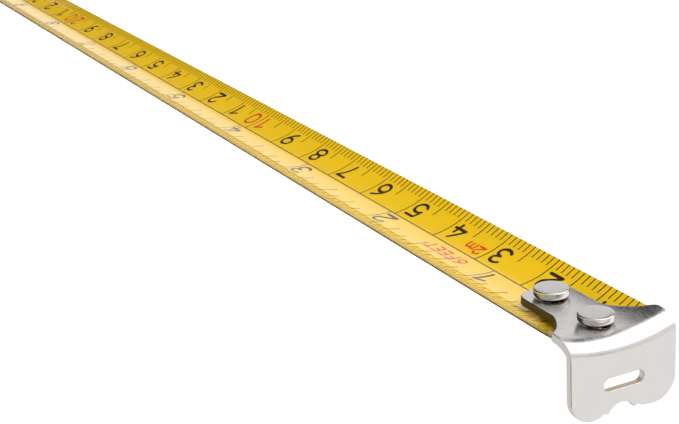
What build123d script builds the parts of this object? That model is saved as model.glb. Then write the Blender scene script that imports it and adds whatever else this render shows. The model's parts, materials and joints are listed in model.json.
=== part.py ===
"""A 2 m pocket tape measure with its blade drawn out and locked.

Millimetres. +X runs along the blade to its hook, +Y to the left, +Z up. The origin is on the flat
base, midway between the two sides and under the axis of the reel.
"""
from build123d import *
from math import acos, atan2, cos, hypot, pi, sin, sqrt
import os

# --- blade: a steel strip, curved across, printed on its hollow side
BLADE_WIDTH = 13.0
BLADE_SAG = 1.95
BLADE_THICK = 0.15
BLADE_LENGTH = 2000.0
BLADE_OUT = 290.0           # from the case's front to the zero line
EDGE_LEVEL = 10.2           # height of the blade's two edges above the base
BLADE_END_GAP = 2.1         # the strip ends this far short of the zero line
NIP_HALF = 4.8              # half of what is left of its width at the end
NIP_SHORT, NIP_LONG = 2.8, 4.2

# --- end hook, riveted loosely on the blade
HOOK_THICK = 0.9
HOOK_WIDTH = 13.3
HOOK_DROP = 8.8             # below the blade's edges
HOOK_BEND = 1.5             # outer bend radius
PLATE_DROP = 0.4            # top of the plate's middle below the blade's edges
PLATE_CURVE = 20.5
TONGUE_WIDTH = 6.2
TONGUE_BACK = 15.3          # behind the zero line
TONGUE_ROUND = 2.5
FLARE_START, FLARE_MIDDLE, FLARE_END = (7.5, 3.1), (5.1, 4.3), (2.6, 6.4)
WING_START = 1.9            # the wings have their full width from here forward
CORNER_ROUND = 2.8
NOTCH_MIDDLE = -0.35        # the notch sits a little to the right
NOTCH_TOP = -7.55           # top of the arch between the two lobes
NOTCH_TOOTH, NOTCH_DIP, NOTCH_LOBE = (1.65, -8.6), (2.3, -8.38), (2.9, -8.7)
NAIL_SLOT_LONG, NAIL_SLOT_HIGH, NAIL_SLOT_DROP = 5.0, 1.45, 5.2
RIVET_BACKS = (4.05, 12.25)  # rivet centres behind the zero line
RIVET_HEAD, RIVET_SHANK = 4.0, 1.6
RIVET_HEAD_TOP = 0.75       # above the blade's edges
RIVET_HEAD_TALL = 0.95
RIVET_HEAD_ROUND = 0.45
RIVET_FOOT, RIVET_FOOT_TALL, RIVET_FOOT_ROUND = 3.4, 0.6, 0.25
SHANK_GAP = 0.1             # between a rivet and the hook's slot

# --- case: two shells that meet at y = 0
HALF_WIDTH = 9.8
HALF_CAVITY = 8.0
WALL = 1.8
SIDE_ROUND = 2.0
REEL_HEIGHT = 25.0
FRONT = 28.0                # x of the front face
REEL_CORNER = (0.0, REEL_HEIGHT, 22.0)
NOSE_TOP = (FRONT - 3.5, 13.5, 3.5)
NOSE_BOTTOM = (FRONT - 2.5, 2.5, 2.5)
BACK_BOTTOM = (-16.0, 6.0, 6.0)
BACK_TOP = (-14.0, 39.0, 7.5)
LIP_DEEP, LIP_REACH, FIT_GAP = 0.9, 0.8, 0.05

# --- reel, springs and post
COIL_RADIUS = 16.0
FLANGE_RADIUS, FLANGE_THICK = 16.8, 0.7
DRUM_OUTER, DRUM_INNER = 13.1, 12.0
DRUM_HALF = 6.95
POST_RADIUS = 3.0
SHAFT_GAP = 0.05
WASHER_RADIUS = 5.5
SPRING_THICK, SPRING_WIDTH, SPRING_PITCH, SPRING_TURNS = 0.22, 11.0, 0.56, 14
SPRING_START = 3.6
POST_GROOVE = 1.5           # bottom of the post's groove, from its axis

# --- screws and the strap eye
BOSSES = ((22.3, 3.7), (-9.0, 3.7), (-16.4, 41.4))
BOSS_RADIUS = 2.4
SCREW_RADIUS, SCREW_HEAD, SCREW_HEAD_TALL, SCREW_REACH = 0.9, 1.8, 1.2, 5.0
CENTRE_SCREW_RADIUS, CENTRE_SCREW_HEAD, CENTRE_SCREW_REACH = 1.1, 2.8, -1.0
EYE = (-16.4, 6.2)
EYE_RADIUS, EYE_BOSS = 1.8, 3.4

# --- grips and badges
GRIP_INNER, GRIP_OUTER, GRIP_SINK, GRIP_STAND = 13.2, 18.8, 0.5, 0.6
BADGE_RADIUS, BADGE_SINK, BADGE_STAND = 12.4, 0.4, 0.1
BAND_HALF, BAND_SINK, BAND_STAND = 6.0, 0.6, 0.7
BAND_FRONT, BAND_FOOT = 6.0, 10.0

# --- mouth and bumper
MOUTH_HALF, MOUTH_LOW, MOUTH_HIGH = 7.3, 6.2, 11.9
GUIDE_BACK, GUIDE_PROUD = 23.2, 0.4
GUIDE_GAP, GUIDE_GROOVE, GROOVE_FLOOR = 0.3, 2.5, 7.0
SILL_HIGH = 10.6
WING_LOW, WING_HIGH = 6.25, 7.2
BUMPER_HALF, BUMPER_LOW, BUMPER_HIGH, BUMPER_PROUD = 5.0, 2.8, 5.2, 0.5

# --- lock: a thumb slider on the sloping front, with a forked brake shoe behind it
LOCK_TRAVEL = 5.0
BUTTON_LOW, BUTTON_HIGH, BUTTON_HALF = 18.0, 8.0, 5.5
BUTTON_GAP, BUTTON_TALL = 0.25, 2.4
NECK_LOW, NECK_HIGH, NECK_HALF = 15.0, 11.0, 2.5
ARM_NEAR, ARM_FAR = 18.2, 19.8      # the arm's two faces, from the reel's axis
ARM_TOP = 3.0
ARM_HALF = 6.2
SHOE_BACK, SHOE_FRONT, SHOE_LEVEL, SHOE_TOP = 17.4, 20.9, 11.6, 13.6
KNEE_NEAR, KNEE_FAR = 13.0, 16.5    # where the arm bends into the shoe
LEG_INNER, LEG_FOOT = 4.0, 10.7
PAD_GAP = 0.15
RIDGE_COUNT, RIDGE_STEP, RIDGE_RADIUS = 4, 1.9, 0.5

BEYOND = 60.0               # past the whole object, for cuts that go right through

# --- worked out
HALF_BLADE = BLADE_WIDTH / 2
BLADE_CURVE = (HALF_BLADE**2 + BLADE_SAG**2) / (2 * BLADE_SAG)
CURVE_CENTRE = EDGE_LEVEL - BLADE_SAG + BLADE_CURVE
BLADE_FLAT = 2 * BLADE_CURVE * atan2(HALF_BLADE, BLADE_CURVE - BLADE_SAG)
ZERO = FRONT + BLADE_OUT
WOUND_LENGTH = BLADE_LENGTH - BLADE_OUT - FRONT
COIL_INNER = sqrt(COIL_RADIUS**2 - WOUND_LENGTH * BLADE_THICK / pi)
COIL_LEVEL = REEL_HEIGHT - COIL_RADIUS


def outline(inset=0.0):
    """The case seen from the side: circles at its corners joined by their common tangents."""
    corners = (REEL_CORNER, NOSE_TOP, NOSE_BOTTOM, BACK_BOTTOM, BACK_TOP)
    edges = []
    for x, z, radius in corners:
        edges += (Pos(x, z) * Circle(radius - inset)).edges()
    return make_hull(edges)


def slab(face, low, high):
    """A face drawn in X and Z, made solid from y = low to y = high."""
    return extrude(Plane.XZ.offset(-high) * face, amount=high - low, dir=(0, -1, 0))


def disc(x, z, radius, low, high):
    return slab(Pos(x, z) * Circle(radius), low, high)


def ring(x, z, inner, outer, low, high):
    return disc(x, z, outer, low, high) - disc(x, z, inner, low - 1, high + 1)


def block(x1, x2, y1, y2, z1, z2):
    middle = Pos((x1 + x2) / 2, (y1 + y2) / 2, (z1 + z2) / 2)
    return middle * Box(x2 - x1, y2 - y1, z2 - z1)


def slope_plane():
    """A plane on the reel's axis: X down the sloping front, Y to the left, Z out of the slope."""
    reel_x, reel_z, reel_r = REEL_CORNER
    nose_x, nose_z, nose_r = NOSE_TOP
    along, up = nose_x - reel_x, nose_z - reel_z
    turn = atan2(up, along) + acos((reel_r - nose_r) / hypot(along, up))
    return Plane(
        origin=(0, 0, REEL_HEIGHT), x_dir=(sin(turn), 0, -cos(turn)), z_dir=(cos(turn), 0, sin(turn))
    )


SLOPE = slope_plane()
SLOPE_FACE = REEL_CORNER[2]


def on_slope(u, w):
    """The X and Z of a point u down the slope and w out from the reel's axis."""
    point = SLOPE.from_local_coords((u, 0, w))
    return point.X, point.Z


def slope_block(u1, u2, half, w1, w2):
    middle = Pos((u1 + u2) / 2, 0, (w1 + w2) / 2)
    return SLOPE * middle * Box(u2 - u1, 2 * half, w2 - w1)


# ---------------------------------------------------------------- case

def plain_shell(side):
    """One half of the case with its cavity, before anything is cut in it. side is 1 or -1."""
    body = slab(outline(), *sorted((0, side * HALF_WIDTH)))
    rim = body.faces().sort_by(Axis.Y)[-1 if side > 0 else 0].edges()
    body = fillet(rim, SIDE_ROUND)
    body -= slab(outline(WALL), *sorted((-side, side * HALF_CAVITY)))
    for x, z in BOSSES:
        body += disc(x, z, BOSS_RADIUS, *sorted((0, side * HALF_CAVITY)))
    return body + disc(*EYE, EYE_BOSS, *sorted((0, side * HALF_CAVITY)))


def case_openings():
    """Everything that is cut through both shells."""
    mouth = block(GUIDE_BACK, FRONT + 1, -MOUTH_HALF, MOUTH_HALF, MOUTH_LOW, MOUTH_HIGH)
    bumper = block(
        FRONT - WALL - 1, FRONT + 1, -BUMPER_HALF, BUMPER_HALF, BUMPER_LOW - FIT_GAP, BUMPER_HIGH + FIT_GAP
    )
    slot = slope_block(
        NECK_HIGH - LOCK_TRAVEL - 0.3, NECK_LOW + 0.3, NECK_HALF + 0.15, SLOPE_FACE - WALL - 1, SLOPE_FACE + 1
    )
    eye = disc(*EYE, EYE_RADIUS, -HALF_WIDTH - 1, HALF_WIDTH + 1)
    return mouth + bumper + slot + eye + band_shape(BAND_HALF + FIT_GAP, 2.0, FIT_GAP)


def side_recesses(side):
    """The ring for the grip and the round for the badge, in one side."""
    out = side * (HALF_WIDTH + 1)
    grip = ring(
        0, REEL_HEIGHT, GRIP_INNER - FIT_GAP, GRIP_OUTER + FIT_GAP,
        *sorted((side * (HALF_WIDTH - GRIP_SINK), out))
    )
    badge = disc(0, REEL_HEIGHT, BADGE_RADIUS + FIT_GAP, *sorted((side * (HALF_WIDTH - BADGE_SINK), out)))
    return grip + badge


def seam_lip(gap=0.0):
    """The rib on the left shell's seam that locates the right shell."""
    outer = slab(outline(LIP_DEEP - gap), -LIP_REACH - gap, 0.1)
    return outer - slab(outline(WALL), -LIP_REACH - 1, 1)


def case_left():
    body = plain_shell(1) + seam_lip()
    body -= case_openings() + side_recesses(1)
    for x, z in BOSSES:
        body -= disc(x, z, SCREW_RADIUS + SHAFT_GAP, -1, SCREW_REACH + 0.5)
    return body


def case_right():
    body = plain_shell(-1) - seam_lip(FIT_GAP)
    body -= case_openings() + side_recesses(-1)
    for x, z in BOSSES:
        body -= disc(x, z, SCREW_RADIUS + SHAFT_GAP, -HALF_WIDTH - 1, 1)
        body -= disc(x, z, SCREW_HEAD + FIT_GAP, -HALF_WIDTH - 1, -HALF_CAVITY - 0.3)
    body -= disc(0, REEL_HEIGHT, CENTRE_SCREW_RADIUS + SHAFT_GAP, -HALF_WIDTH - 1, 0)
    body -= disc(0, REEL_HEIGHT, CENTRE_SCREW_HEAD + FIT_GAP, -HALF_WIDTH - 1, -HALF_CAVITY - 0.3)
    return body


def screw(x, z, shank, head, reach):
    """A pan head at the right side with its shank pointing left."""
    seat = -HALF_CAVITY - 0.3
    body = disc(x, z, head, seat - SCREW_HEAD_TALL + 0.1, seat) + disc(x, z, shank, seat, reach)
    slot = block(x - head, x + head, seat - SCREW_HEAD_TALL, seat - 0.6, z - 0.25, z + 0.25)
    cross = block(x - 0.25, x + 0.25, seat - SCREW_HEAD_TALL, seat - 0.6, z - head, z + head)
    core = disc(x, z, 0.6 * head, seat - SCREW_HEAD_TALL, seat)
    return body - ((slot + cross) & core)


def case_screws():
    screws = [screw(x, z, SCREW_RADIUS, SCREW_HEAD, SCREW_REACH) for x, z in BOSSES]
    return Compound(children=[s.solid() for s in screws])


def centre_screw():
    return screw(0, REEL_HEIGHT, CENTRE_SCREW_RADIUS, CENTRE_SCREW_HEAD, CENTRE_SCREW_REACH)


def side_grip(side):
    low, high = sorted((side * (HALF_WIDTH - GRIP_SINK), side * (HALF_WIDTH + GRIP_STAND)))
    pad = ring(0, REEL_HEIGHT, GRIP_INNER, GRIP_OUTER, low, high)
    face = pad.faces().sort_by(Axis.Y)[-1 if side > 0 else 0]
    return fillet(face.edges(), 0.4)


def side_badge(side):
    low, high = sorted((side * (HALF_WIDTH - BADGE_SINK), side * (HALF_WIDTH + BADGE_STAND)))
    return disc(0, REEL_HEIGHT, BADGE_RADIUS, low, high)


def band_shape(half, stand, gap=0.0):
    """The strip over the top and down the back, standing out of the case by stand."""
    wrap = slab(outline(-stand), -half, half) - slab(outline(BAND_SINK), -half - 1, half + 1)
    return wrap & block(-BEYOND, BAND_FRONT + gap, -half, half, BAND_FOOT - gap, BEYOND)


def grip_band():
    return band_shape(BAND_HALF, BAND_STAND)


def blade_hollow(radius, x1, x2):
    """A round bar with the axis of the blade's own curve."""
    return Pos((x1 + x2) / 2, 0, CURVE_CENTRE) * Rot(0, 90, 0) * Cylinder(radius, x2 - x1)


def mouth_guide():
    """The sill that carries the blade: hollow like the blade, with a groove for the rivets."""
    front = FRONT + GUIDE_PROUD
    back, half = GUIDE_BACK + FIT_GAP, MOUTH_HALF - FIT_GAP
    sill = block(back, front, -half, half, MOUTH_LOW, SILL_HIGH)
    wings = block(back, FRONT - WALL - FIT_GAP, -HALF_CAVITY, HALF_CAVITY, WING_LOW, WING_HIGH)
    body = sill + wings
    body -= blade_hollow(BLADE_CURVE + BLADE_THICK + GUIDE_GAP, GUIDE_BACK - 1, front + 1)
    return body - block(GUIDE_BACK - 1, front + 1, -GUIDE_GROOVE, GUIDE_GROOVE, GROOVE_FLOOR, SILL_HIGH + 1)


def hook_bumper():
    """A rubber block that the hook lands on, held by a flange inside the front wall."""
    inside = FRONT - WALL - FIT_GAP
    pad = block(inside - 0.5, FRONT + BUMPER_PROUD, -BUMPER_HALF, BUMPER_HALF, BUMPER_LOW, BUMPER_HIGH)
    flange = block(inside - 1.0, inside, -BUMPER_HALF - 1, BUMPER_HALF + 1, BUMPER_LOW, BUMPER_HIGH + 0.5)
    face = pad.faces().sort_by(Axis.X)[-1]
    return fillet(face.edges(), 0.4) + flange


# ---------------------------------------------------------------- reel

def centre_post():
    """The fixed arbor: bored for its screw, with a groove that holds the spring's inner end."""
    post = disc(0, REEL_HEIGHT, POST_RADIUS, -HALF_CAVITY, HALF_CAVITY)
    bore = CENTRE_SCREW_RADIUS + SHAFT_GAP
    post -= disc(0, REEL_HEIGHT, bore, -HALF_CAVITY - 1, CENTRE_SCREW_REACH + 0.5)
    half = SPRING_WIDTH / 2 + 0.3
    return post - block(POST_GROOVE, POST_RADIUS + 1, -half, half, REEL_HEIGHT - 0.3, REEL_HEIGHT + 0.3)


def washer(side):
    low, high = sorted((side * (DRUM_HALF + FLANGE_THICK + SHAFT_GAP), side * HALF_CAVITY))
    return ring(0, REEL_HEIGHT, POST_RADIUS + SHAFT_GAP, WASHER_RADIUS, low, high)


def reel():
    """The drum with the left flange on it, closed by a web that turns on the post."""
    drum = ring(0, REEL_HEIGHT, DRUM_INNER, DRUM_OUTER, -DRUM_HALF, DRUM_HALF)
    flange = ring(0, REEL_HEIGHT, POST_RADIUS + SHAFT_GAP, FLANGE_RADIUS, DRUM_HALF, DRUM_HALF + FLANGE_THICK)
    return drum + flange


def reel_cover():
    """The right flange, with a ring that plugs into the drum."""
    outer = -DRUM_HALF - FLANGE_THICK
    flange = ring(0, REEL_HEIGHT, POST_RADIUS + SHAFT_GAP, FLANGE_RADIUS, outer, -DRUM_HALF)
    plug = ring(0, REEL_HEIGHT, DRUM_INNER - 0.8, DRUM_INNER - SHAFT_GAP, -DRUM_HALF, -DRUM_HALF + 0.9)
    return flange + plug


def blade_coil():
    """The turns that stay wound, as one tight ring of the same volume."""
    half = BLADE_FLAT / 2
    return ring(0, REEL_HEIGHT, COIL_INNER, COIL_RADIUS, -half, half)


def power_spring():
    """A flat spiral of half turns about two centres, with a tab bent into the post's groove."""
    outer, inner = [], []
    for half_turn in range(2 * SPRING_TURNS):
        radius = SPRING_START + half_turn * SPRING_PITCH / 2
        centre = (SPRING_PITCH / 2 * (half_turn % 2), 0)
        start = 180 * (half_turn % 2)
        outer.append(CenterArc(centre, radius + SPRING_THICK / 2, start, 180))
        inner.append(CenterArc(centre, radius - SPRING_THICK / 2, start, 180))
    caps = [Line(outer[0] @ 0, inner[0] @ 0), Line(outer[-1] @ 1, inner[-1] @ 1)]
    ribbon = Face(Wire(outer + inner + caps))
    half = SPRING_WIDTH / 2
    coil = slab(Pos(0, REEL_HEIGHT) * ribbon, -half, half)
    return coil + block(POST_GROOVE + 0.2, SPRING_START, -half, half, REEL_HEIGHT, REEL_HEIGHT + SPRING_THICK)


# ---------------------------------------------------------------- blade and hook

def blade_section(x):
    """The blade's curved section, as a face across X."""
    outer = BLADE_CURVE + BLADE_THICK
    side = HALF_BLADE / BLADE_CURVE
    rise = sqrt(1 - side**2)
    tips = [(s * outer * side, CURVE_CENTRE - outer * rise) for s in (-1, 1)]
    inner_tips = [(s * HALF_BLADE, EDGE_LEVEL) for s in (-1, 1)]
    top = ThreePointArc(inner_tips[0], (0, CURVE_CENTRE - BLADE_CURVE), inner_tips[1])
    bottom = ThreePointArc(tips[0], (0, CURVE_CENTRE - outer), tips[1])
    ends = [Line(a, b) for a, b in zip(inner_tips, tips)]
    return Plane.YZ.offset(x) * Face(Wire([top, bottom] + ends))


def flat_section(x, top):
    """The same strip where the reel has pressed it flat."""
    return Plane.YZ.offset(x) * Pos(0, top - BLADE_THICK / 2) * Rectangle(BLADE_FLAT, BLADE_THICK)


def blade():
    """The strip from the coil to just short of the hook, with its end nipped in under the hook."""
    spread = GUIDE_BACK - 6.0
    end = ZERO - BLADE_END_GAP
    strip = extrude(blade_section(spread), amount=end - spread, dir=(1, 0, 0))
    spreading = loft([flat_section(0, COIL_LEVEL - SHAFT_GAP), blade_section(spread)], ruled=True)
    side = HALF_BLADE + 1
    corner = Polyline(
        (end + 1, NIP_HALF), (end - NIP_SHORT, NIP_HALF), (end - NIP_LONG, side), (end + 1, side), close=True
    )
    nip = extrude(make_face(corner), amount=BEYOND)
    strip -= nip + mirror(nip, Plane.XZ)
    for back in RIVET_BACKS:
        strip -= Pos(ZERO - back, 0, EDGE_LEVEL) * Cylinder(RIVET_SHANK / 2 + SHAFT_GAP, 10)
    return strip + spreading


def rivet(back):
    """A flat-topped head above the hook, its shank, and the formed head under the blade."""
    under = EDGE_LEVEL - BLADE_SAG - BLADE_THICK
    top = EDGE_LEVEL + RIVET_HEAD_TOP
    head = Pos(0, 0, top - RIVET_HEAD_TALL / 2) * Cylinder(RIVET_HEAD / 2, RIVET_HEAD_TALL)
    head = fillet(head.edges().sort_by(Axis.Z)[-1], RIVET_HEAD_ROUND)
    shank_tall = top - RIVET_HEAD_TALL / 2 - under
    shank = Pos(0, 0, under + shank_tall / 2) * Cylinder(RIVET_SHANK / 2, shank_tall)
    foot = Pos(0, 0, under - RIVET_FOOT_TALL / 2) * Cylinder(RIVET_FOOT / 2, RIVET_FOOT_TALL)
    foot = fillet(foot.edges().sort_by(Axis.Z)[0], RIVET_FOOT_ROUND)
    return Pos(ZERO - back, 0, 0) * (head + shank + foot)


def plate_body(drop, curve, front, bend):
    """The space under a plate that is curved across and rounded over at its front."""
    low, half = -HOOK_DROP - 3, HOOK_WIDTH / 2 + 1
    rise = curve - sqrt(curve**2 - half**2) - drop
    arc = ThreePointArc((-half, rise), (0, -drop), (half, rise))
    face = make_face(Polyline((half, rise), (half, low), (-half, low), (-half, rise)) + arc)
    back = TONGUE_BACK + 2
    body = Pos(front, 0, 0) * extrude(Plane.YZ * face, amount=-(back + front))
    edge = body.faces().sort_by(Axis.X)[-1].edges().sort_by(Axis.Z)[-1]
    return fillet(edge, bend)


def hook_plan():
    """The hook from above: a round-cornered tongue that flares to the full width."""
    half, front = TONGUE_WIDTH / 2, HOOK_THICK + 1
    side = HOOK_WIDTH / 2
    (x1, y1), (x2, y2), (x3, y3) = FLARE_START, FLARE_MIDDLE, FLARE_END
    lines = [
        Line((-TONGUE_BACK, -half), (-TONGUE_BACK, half)),
        Line((front, side), (front, -side)),
    ]
    for s in (1, -1):
        lines += [
            Line((-TONGUE_BACK, s * half), (-x1, s * y1)),
            ThreePointArc((-x1, s * y1), (-x2, s * y2), (-x3, s * y3)),
            Line((-x3, s * y3), (-WING_START, s * side)),
            Line((-WING_START, s * side), (front, s * side)),
        ]
    plan = extrude(Face(Wire(lines)), amount=BEYOND, both=True)
    back = plan.edges().filter_by(Axis.Z).sort_by(Axis.X)[:2]
    return fillet(back, TONGUE_ROUND)


def hook_front():
    """The hook from the front: round lower corners, two lobes and a nail notch between them."""
    side, bottom, high = HOOK_WIDTH / 2, -HOOK_DROP, HOOK_THICK + 3
    turn = CORNER_ROUND * (1 - sqrt(0.5))
    teeth, lines = [], [Line((-side, high), (side, high))]
    for s in (1, -1):
        corner_start, corner_end = (s * side, bottom + CORNER_ROUND), (s * (side - CORNER_ROUND), bottom)
        lobe, dip, tooth = ((NOTCH_MIDDLE + s * y, z) for y, z in (NOTCH_LOBE, NOTCH_DIP, NOTCH_TOOTH))
        teeth.append(tooth)
        lines += [
            Line((s * side, high), corner_start),
            ThreePointArc(corner_start, (s * (side - turn), bottom + turn), corner_end),
            Line(corner_end, lobe),
            Line(lobe, dip),
            Line(dip, tooth),
        ]
    lines.append(ThreePointArc(teeth[0], (NOTCH_MIDDLE, NOTCH_TOP), teeth[1]))
    front = extrude(Plane.YZ * Face(Wire(lines)), amount=BEYOND, both=True)
    slot = Plane.YZ * Pos(0, -NAIL_SLOT_DROP) * SlotOverall(NAIL_SLOT_LONG, NAIL_SLOT_HIGH)
    behind = block(-BEYOND, -BLADE_THICK, -side - 1, side + 1, -HOOK_BEND - 1, high)
    return front - extrude(slot, amount=BEYOND, both=True) + behind


def hook():
    """A curved tongue that lies on the blade and a face that hangs in front of its end."""
    body = plate_body(PLATE_DROP, PLATE_CURVE, HOOK_THICK, HOOK_BEND)
    body -= plate_body(PLATE_DROP + HOOK_THICK, PLATE_CURVE + HOOK_THICK, 0, HOOK_BEND - HOOK_THICK)
    body = body & hook_plan() & hook_front()
    hole = RIVET_SHANK + 2 * SHANK_GAP
    for back in RIVET_BACKS:
        slot = Pos(HOOK_THICK / 2 - back, 0) * SlotOverall(hole + HOOK_THICK, hole)
        body -= extrude(slot, amount=5, both=True)
    return Pos(ZERO, 0, EDGE_LEVEL) * body


# ---------------------------------------------------------------- lock

def lock_button():
    """The thumb piece, ribbed across, with a neck through the slot in the slope."""
    low = SLOPE_FACE + BUTTON_GAP
    top = low + BUTTON_TALL
    middle, long = (BUTTON_LOW + BUTTON_HIGH) / 2, BUTTON_LOW - BUTTON_HIGH
    thumb = Pos(middle, 0, low + BUTTON_TALL / 2) * Box(long, 2 * BUTTON_HALF, BUTTON_TALL)
    thumb = fillet(thumb.edges().filter_by(Axis.Z), 1.6)
    thumb = fillet(thumb.faces().sort_by(Axis.Z)[-1].edges(), 0.7)
    for n in range(RIDGE_COUNT):
        u = middle + (n - (RIDGE_COUNT - 1) / 2) * RIDGE_STEP
        thumb -= Pos(u, 0, top) * Rot(90, 0, 0) * Cylinder(RIDGE_RADIUS, 2 * BUTTON_HALF - 2)
    return SLOPE * thumb + slope_block(NECK_HIGH, NECK_LOW, NECK_HALF, ARM_NEAR, low + 0.1)


def lock_arm():
    """The slider's inner arm, bent back at its foot into two legs that straddle the hook's tongue."""
    points = [
        on_slope(ARM_TOP, ARM_NEAR), on_slope(ARM_TOP, ARM_FAR), on_slope(KNEE_FAR, ARM_FAR),
        (SHOE_FRONT, SHOE_LEVEL), (SHOE_BACK, SHOE_LEVEL), (SHOE_BACK, SHOE_TOP),
        on_slope(KNEE_NEAR, ARM_NEAR),
    ]
    arm = slab(make_face(Polyline(*points, close=True)), -ARM_HALF, ARM_HALF)
    for s in (1, -1):
        sides = sorted((s * LEG_INNER, s * ARM_HALF))
        arm += block(SHOE_BACK, SHOE_FRONT, *sides, LEG_FOOT, SHOE_LEVEL + 0.1)
    pocket = slope_block(
        NECK_HIGH - SHAFT_GAP, NECK_LOW + SHAFT_GAP, NECK_HALF + SHAFT_GAP, ARM_NEAR - 1, ARM_FAR + 1
    )
    return arm - pocket


def brake_pad(side):
    """A rubber pad under one leg, rounded to the blade's hollow face."""
    pad = block(SHOE_BACK, SHOE_FRONT, *sorted((side * LEG_INNER, side * ARM_HALF)), EDGE_LEVEL - 2, LEG_FOOT)
    return pad & blade_hollow(BLADE_CURVE - PAD_GAP, SHOE_BACK - 1, SHOE_FRONT + 1)


def nodes():
    parts = {
        "case_left": case_left(),
        "case_right": case_right(),
        "case_screws": case_screws(),
        "centre_screw": centre_screw(),
        "grip_band": grip_band(),
        "mouth_guide": mouth_guide(),
        "hook_bumper": hook_bumper(),
        "centre_post": centre_post(),
        "reel": reel(),
        "reel_cover": reel_cover(),
        "blade_coil": blade_coil(),
        "power_spring": power_spring(),
        "blade": blade(),
        "hook": hook(),
        "lock_button": lock_button(),
        "lock_arm": lock_arm(),
    }
    for name, side in (("left", 1), ("right", -1)):
        parts["grip_" + name] = side_grip(side)
        parts["badge_" + name] = side_badge(side)
        parts["reel_washer_" + name] = washer(side)
        parts["brake_pad_" + name] = brake_pad(side)
    for name, back in zip(("front", "rear"), RIVET_BACKS):
        parts["hook_rivet_" + name] = rivet(back)
    return parts


os.makedirs("parts", exist_ok=True)
for node, shape in nodes().items():
    export_step(shape, f"parts/{node}.step")
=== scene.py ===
"""The looks of a 2 m pocket tape measure with its blade drawn out.

Metres in the frame: +X along the blade to its hook, +Y to the centimetre edge, +Z up. The pieces are
worked out in millimetres on the blade: x runs from the zero line (negative towards the case), y across,
z up from the blade's edges. Along the printed face s = -x, and t is the distance round the hollow.
"""
import json
from math import cos, pi, radians, sin, tau

import bmesh
import bpy
import numpy as np
from mathutils import Matrix, Vector


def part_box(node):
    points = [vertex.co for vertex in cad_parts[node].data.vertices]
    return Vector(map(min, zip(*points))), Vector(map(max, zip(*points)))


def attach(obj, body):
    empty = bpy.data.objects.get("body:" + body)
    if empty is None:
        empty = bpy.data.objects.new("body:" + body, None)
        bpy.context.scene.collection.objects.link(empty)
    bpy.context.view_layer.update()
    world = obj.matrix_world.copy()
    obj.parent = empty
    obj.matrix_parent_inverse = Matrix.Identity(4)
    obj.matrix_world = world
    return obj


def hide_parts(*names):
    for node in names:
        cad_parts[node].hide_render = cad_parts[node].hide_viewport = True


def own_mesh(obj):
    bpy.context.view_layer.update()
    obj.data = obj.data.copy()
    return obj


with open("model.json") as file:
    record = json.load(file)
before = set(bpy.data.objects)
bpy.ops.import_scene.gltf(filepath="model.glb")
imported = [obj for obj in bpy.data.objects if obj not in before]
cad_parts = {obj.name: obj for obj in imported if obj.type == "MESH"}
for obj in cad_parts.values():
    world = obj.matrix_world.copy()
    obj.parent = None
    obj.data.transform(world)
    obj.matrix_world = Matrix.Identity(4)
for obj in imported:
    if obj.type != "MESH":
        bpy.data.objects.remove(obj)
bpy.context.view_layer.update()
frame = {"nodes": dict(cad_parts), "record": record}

MM = 0.001

# --- blade
BLADE_WIDTH = 13.0
BLADE_SAG = 1.95
BLADE_THICK = 0.15
BLADE_CURVE = ((BLADE_WIDTH / 2) ** 2 + BLADE_SAG**2) / (2 * BLADE_SAG)
HALF_ARC = BLADE_CURVE * np.arcsin(BLADE_WIDTH / 2 / BLADE_CURVE)
BLADE_END = -2.1
END_LONG, END_NARROW = 2.6, 2.2     # the free end's rounding: along the strip, and in from each edge
FLAT_LEVEL = -1.3           # the height at which the reel has pressed the strip flat
SPREAD_LONG = 17.0          # how far the strip takes to spread from flat to curved
LEAST_SHARE = 0.02          # keeps a trace of the curve where the strip is flat

# --- hook and rivets
HOOK_THICK = 0.9
HOOK_WIDTH = 13.3
HOOK_DROP = 8.8
BEND_TIGHT, BEND_EASY = 1.3, 2.7    # the bend's radius at the face, and what its start adds to that
WING_CURL = 1.6                     # how much more it adds at the wings' tips
EDGE_ROUND = 0.15                   # the rounding of the stamped edges
PLATE_TOP = -0.4
PLATE_CURVE = 20.5
TONGUE_HALF = 3.1
TONGUE_BACK = -15.3
TONGUE_ROUND = 2.5
FLARE = ((-7.5, 3.1), (-5.15, 4.25), (-2.95, 6.1))
TIP_BACK, TIP_IN = 0.5, 0.02        # the wing tip's control point, from the bend's start and from the edge
SEAM_BACK = 0.6                     # how far behind the flare the tongue's patch starts
CORNER_ROUND = 2.8
NOTCH_MIDDLE = -0.35
NOTCH_LOBE = ((2.9, 0.1), (2.45, 0.16), (2.3, 0.42))    # out from the notch's middle, up from the lower edge
NOTCH_TOOTH = ((2.3, 0.42), (1.95, 0.42), (1.65, 0.2))
NOTCH_ARCH = ((1.65, 0.2), (1.15, 0.82), (0, 1.25))
RIVETS = {"hook_rivet_front": -4.05, "hook_rivet_rear": -12.25}
RIVET_SLOT_RADIUS, RIVET_SLOT_HALF = 0.9, 1.35
RIVET_RADIUS, RIVET_TOP, RIVET_TALL = 2.0, 0.75, 0.95
RIVET_ROUND = (0.16, 0.40)          # the head's rounding above and below its rim
SHANK_RADIUS = 0.8
FOOT_RADIUS, FOOT_DEEP, FOOT_ROUND = 1.7, 0.6, 0.25
NAIL_SLOT_HALF, NAIL_SLOT_RADIUS, NAIL_SLOT_Z = 2.5, 0.725, -5.2

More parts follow.
